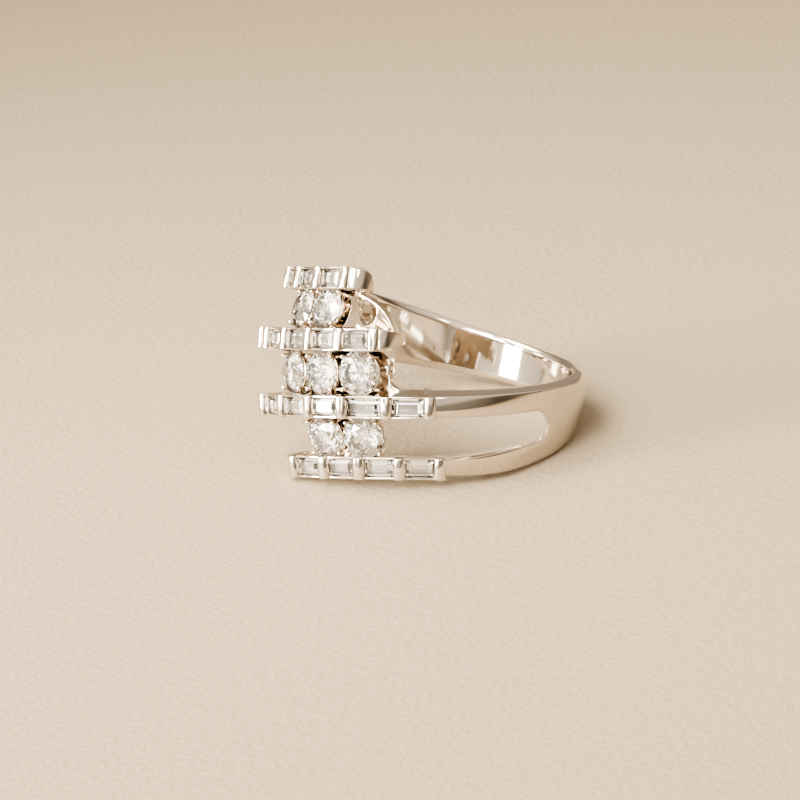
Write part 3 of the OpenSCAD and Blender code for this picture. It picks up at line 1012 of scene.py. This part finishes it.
def polished_metal(looks, name, warmth):
    """Mirror metal with a faint haze and the swirl that the polishing wheel leaves."""
    material, tree, shader, place = new_material(name)
    # The warmth tints the settings' copy browner, as painted shade for their recesses
    shader.inputs["Base Color"].default_value = (*(c * w for c, w in zip(looks.metal, warmth)), 1)
    shader.inputs["Metallic"].default_value = 1.0
    haze = node(tree, "ShaderNodeTexNoise", Scale=900.0, Detail=4.0, Roughness=0.6)
    spread = node(tree, "ShaderNodeMapRange", To_Min=looks.polish * HAZE_RANGE[0],
                  To_Max=looks.polish * HAZE_RANGE[1])
    tree.links.new(place, haze.inputs["Vector"])
    tree.links.new(haze.outputs["Fac"], spread.inputs["Value"])
    tree.links.new(spread.outputs["Result"], shader.inputs["Roughness"])
    swirl = node(tree, "ShaderNodeTexNoise", Scale=260.0, Detail=3.0, Roughness=0.5)
    bump = node(tree, "ShaderNodeBump", Strength=0.05, Distance=0.00002)
    tree.links.new(place, swirl.inputs["Vector"])
    tree.links.new(swirl.outputs["Fac"], bump.inputs["Height"])
    tree.links.new(bump.outputs["Normal"], shader.inputs["Normal"])
    return material


def diamond(looks, name):
    """Clear stone with faint warm and cool patches painted into its colour, as the fire of a cut stone."""
    material, tree, shader, place = new_material(name)
    shader.inputs["IOR"].default_value = DIAMOND_IOR
    shader.inputs["Transmission Weight"].default_value = 1.0
    fire = node(tree, "ShaderNodeTexNoise", Scale=1500.0, Detail=2.0, Roughness=0.5)
    tint = node(tree, "ShaderNodeValToRGB")
    warm, cool = ([c * w for c, w in zip(looks.stone, tone)] for tone in (WARM_PAINTED_FIRE, COOL_PAINTED_FIRE))
    stops = ((0.0, warm), (PLAIN_STONE[0], looks.stone), (PLAIN_STONE[1], looks.stone), (1.0, cool))
    while len(tint.color_ramp.elements) < len(stops):
        tint.color_ramp.elements.new(0.5)
    for stop, (at, colour) in zip(tint.color_ramp.elements, stops):
        stop.position = at
        stop.color = (*colour, 1)
    polish = node(tree, "ShaderNodeTexNoise", Scale=4000.0, Detail=1.0)
    spread = node(tree, "ShaderNodeMapRange", To_Max=STONE_HAZE)
    tree.links.new(place, fire.inputs["Vector"])
    tree.links.new(fire.outputs["Fac"], tint.inputs["Fac"])
    tree.links.new(tint.outputs["Color"], shader.inputs["Base Color"])
    tree.links.new(place, polish.inputs["Vector"])
    tree.links.new(polish.outputs["Fac"], spread.inputs["Value"])
    tree.links.new(spread.outputs["Result"], shader.inputs["Roughness"])
    return material


def floor_finish(looks):
    """Pale and matt, with a fine nap."""
    material, tree, shader, place = new_material("pale_floor")
    shader.inputs["Roughness"].default_value = 0.75
    pile = node(tree, "ShaderNodeTexNoise", Scale=1900.0, Detail=2.0, Roughness=0.5, Distortion=0.2)
    tone = node(tree, "ShaderNodeMix")
    tone.data_type = "RGBA"
    for socket, share in zip(("A", "B"), FLOOR_TONES):
        tone.inputs[socket].default_value = (*(c * share for c in looks.floor), 1)
    nap = node(tree, "ShaderNodeBump", Strength=0.6, Distance=0.00012)
    tree.links.new(place, pile.inputs["Vector"])
    tree.links.new(pile.outputs["Fac"], tone.inputs["Factor"])
    tree.links.new(tone.outputs["Result"], shader.inputs["Base Color"])
    tree.links.new(pile.outputs["Fac"], nap.inputs["Height"])
    tree.links.new(nap.outputs["Normal"], shader.inputs["Normal"])
    return material


# Stage


def build_floor(looks):
    bm = bmesh.new()
    bmesh.ops.create_grid(bm, x_segments=1, y_segments=1, size=FLOOR_HALF)
    mesh = bpy.data.meshes.new("floor")
    bm.to_mesh(mesh)
    bm.free()
    mesh.materials.append(floor_finish(looks))
    floor = bpy.data.objects.new("floor", mesh)
    bpy.context.scene.collection.objects.link(floor)


class RoomNodes:
    """Joins the nodes of the world, each step giving the socket with its result."""

    def __init__(self, tree):
        self.tree = tree
        self.place = tree.nodes.new("ShaderNodeTexCoord").outputs["Generated"]

    def vector(self, operation, first):
        """A vector node, whose first input is a colour, a direction or a socket."""
        made = self.tree.nodes.new("ShaderNodeVectorMath")
        made.operation = operation
        if isinstance(first, bpy.types.NodeSocket):
            self.tree.links.new(first, made.inputs[0])
        else:
            made.inputs[0].default_value = first
        return made

    def share(self, direction, low, high, start=0.0, end=1.0):
        """Goes smoothly from start to end as a direction comes nearer to the one given."""
        towards = self.vector("DOT_PRODUCT", self.place)
        towards.inputs[1].default_value = Vector(direction).normalized()
        rise = node(self.tree, "ShaderNodeMapRange", From_Min=low, From_Max=high, To_Min=start, To_Max=end)
        rise.interpolation_type = "SMOOTHSTEP"
        self.tree.links.new(towards.outputs["Value"], rise.inputs["Value"])
        return rise.outputs["Result"]

    def scaled(self, colour, amount):
        made = self.vector("SCALE", colour)
        self.tree.links.new(amount, made.inputs["Scale"])
        return made.outputs["Vector"]

    def added(self, first, second):
        made = self.vector("ADD", first)
        self.tree.links.new(second, made.inputs[1])
        return made.outputs["Vector"]

    def number(self, operation, first, second, third=0.0):
        made = self.tree.nodes.new("ShaderNodeMath")
        made.operation = operation
        self.tree.links.new(first, made.inputs[0])
        if isinstance(second, bpy.types.NodeSocket):
            self.tree.links.new(second, made.inputs[1])
        else:
            made.inputs[1].default_value = second
        made.inputs[2].default_value = third
        return made.outputs["Value"]


def build_room():
    """A warm room round the stage: pale towards the window and overhead, darker low on one side."""
    world = bpy.data.worlds.new("room")
    bpy.context.scene.world = world
    world.use_nodes = True
    room = RoomNodes(world.node_tree)
    total = ROOM_TONE
    for colour, direction, low, high in ROOM_GLOWS:
        total = room.added(total, room.scaled(colour, room.share(direction, low, high)))
    beside = room.share(SHADE_SIDE, *SHADE_COSINES, 0.0, 1.0 - SHADE_LEAVES)
    below = room.share((0, 0, 1), *SHADE_CLEARS, 1.0, 0.0)
    shaded = room.number("MULTIPLY", beside, below)
    total = room.scaled(total, room.number("MULTIPLY_ADD", shaded, -1.0, 1.0))
    world.node_tree.links.new(total, world.node_tree.nodes["Background"].inputs["Color"])


def soft_box(name, place, size, spread, power, colour):
    light = bpy.data.lights.new(name, "AREA")
    light.shape = "RECTANGLE"
    light.size, light.size_y = size
    light.spread = math.radians(spread)
    light.energy = power
    light.color = colour
    lamp = bpy.data.objects.new(name, light)
    lamp.location = place
    lamp.rotation_mode = "QUATERNION"
    lamp.rotation_quaternion = (Vector(LIGHT_AIM) - Vector(place)).to_track_quat("-Z", "Y")
    bpy.context.scene.collection.objects.link(lamp)


def build_lights():
    soft_box("window", *WINDOW_LIGHT)
    soft_box("front", *FRONT_LIGHT)
    for k, place in enumerate(GLINT_PLACES):
        soft_box("glint_%d" % (k + 1), place, *GLINT)
    soft_box("overhead", *OVERHEAD_LIGHT)


def build_camera():
    a, e, roll = (math.radians(d) for d in (AZIMUTH, ELEVATION, ROLL))
    back = Vector((math.sin(a) * math.cos(e), -math.cos(a) * math.cos(e), math.sin(e)))
    flat = Vector((math.cos(a), math.sin(a), 0))
    upward = back.cross(flat)
    right = flat * math.cos(roll) + upward * math.sin(roll)
    up = upward * math.cos(roll) - flat * math.sin(roll)
    focal = SCALE_AT_RING * DISTANCE
    # Turned a little, so that the ring lies off the middle as in the photograph
    aim = -back + right * ((IMAGE_W / 2 - RING_X) / focal) + up * ((RING_Y - IMAGE_W / 2) / focal)
    new_back = -aim.normalized()
    new_right = (right - new_back * right.dot(new_back)).normalized()
    new_up = new_back.cross(new_right)
    pose = rest_pose()
    turn = pose.to_3x3().normalized()
    camera_data = bpy.data.cameras.new("camera")
    camera_data.sensor_width = SENSOR_W
    camera_data.lens = focal / IMAGE_W * SENSOR_W
    camera_data.clip_start, camera_data.clip_end = 0.01, 10
    camera = bpy.data.objects.new("camera", camera_data)
    bpy.context.scene.collection.objects.link(camera)
    axes = Matrix((turn @ new_right, turn @ new_up, turn @ new_back)).transposed().to_4x4()
    camera.matrix_world = Matrix.Translation(pose @ (back * DISTANCE)) @ axes
    bpy.context.scene.camera = camera


# Operators


class RING_OT_finishes(bpy.types.Operator):
    """Makes the polished metal and dresses the stones"""
    bl_idname = "ring.finishes"
    bl_label = "Metal and Stones"

    def execute(self, context):
        looks = context.scene.ring_looks
        polished_metal(looks, POLISHED, (1, 1, 1))
        # A warmer copy for the settings and the gallery, as painted shade in their recesses
        polished_metal(looks, PAINTED_SHADE_METAL, PAINTED_SHADE_WARMTH)
        for kind in ("brilliant", "baguette"):
            material = diamond(looks, kind + "_diamond")
            stones = [stone for name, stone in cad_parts.items() if kind in name]
            for stone in stones:
                stone.data.materials.clear()
                stone.data.materials.append(material)
        return {"FINISHED"}


class RING_OT_shank(bpy.types.Operator):
    """Builds the band with its two split shoulders"""
    bl_idname = "ring.shank"
    bl_label = "Shank"

    def execute(self, context):
        shank = build_shank(context.scene.ring_sizes, bpy.data.materials[POLISHED])
        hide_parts("band")
        return {"FINISHED"}


class RING_OT_bars(bpy.types.Operator):
    """Builds the four slanted bars with their rails, cross-prongs and end caps"""
    bl_idname = "ring.bars"
    bl_label = "Bars"

    def execute(self, context):
        build_bars(context.scene.ring_sizes, bpy.data.materials[POLISHED])
        return {"FINISHED"}


class RING_OT_settings(bpy.types.Operator):
    """Builds the cups and claws of the round stones"""
    bl_idname = "ring.settings"
    bl_label = "Cups and Claws"

    def execute(self, context):
        build_settings(context.scene.ring_sizes, bpy.data.materials[PAINTED_SHADE_METAL])
        return {"FINISHED"}


class RING_OT_gallery(bpy.types.Operator):
    """Builds the pierced gallery next to the finger"""
    bl_idname = "ring.gallery"
    bl_label = "Gallery"

    def execute(self, context):
        build_gallery(context.scene.ring_sizes, bpy.data.materials[PAINTED_SHADE_METAL])
        build_lugs(bpy.data.materials[POLISHED])
        build_strut(bpy.data.materials[POLISHED])
        return {"FINISHED"}


class RING_OT_stage(bpy.types.Operator):
    """Lays the floor, sets the lights and places the camera at the photograph's angle"""
    bl_idname = "ring.stage"
    bl_label = "Stage"

    def execute(self, context):
        build_floor(context.scene.ring_looks)
        build_room()
        build_lights()
        build_camera()
        return {"FINISHED"}


class RING_PT_panel(bpy.types.Panel):
    bl_label = "Crossover Ring"
    bl_idname = "RING_PT_panel"
    bl_space_type = "VIEW_3D"
    bl_region_type = "UI"
    bl_category = "Ring"

    def draw(self, context):
        layout = self.layout
        for group in (context.scene.ring_sizes, context.scene.ring_looks):
            for name in group.bl_rna.properties.keys():
                if name not in {"rna_type", "name"}:
                    layout.prop(group, name)
        for operator in OPERATORS:
            layout.operator(operator.bl_idname)


OPERATORS = (RING_OT_finishes, RING_OT_shank, RING_OT_bars, RING_OT_settings, RING_OT_gallery,
             RING_OT_stage)
CLASSES = (RingSizes, RingLooks, *OPERATORS, RING_PT_panel)


def register():
    for cls in CLASSES:
        bpy.utils.register_class(cls)
    bpy.types.Scene.ring_sizes = PointerProperty(type=RingSizes)
    bpy.types.Scene.ring_looks = PointerProperty(type=RingLooks)


def unregister():
    del bpy.types.Scene.ring_looks
    del bpy.types.Scene.ring_sizes
    for cls in reversed(CLASSES):
        bpy.utils.unregister_class(cls)


def main():
    register()
    bpy.ops.ring.finishes()
    bpy.ops.ring.shank()
    bpy.ops.ring.bars()
    bpy.ops.ring.settings()
    bpy.ops.ring.gallery()
    bpy.ops.ring.stage()


if __name__ == "__main__":
    main()
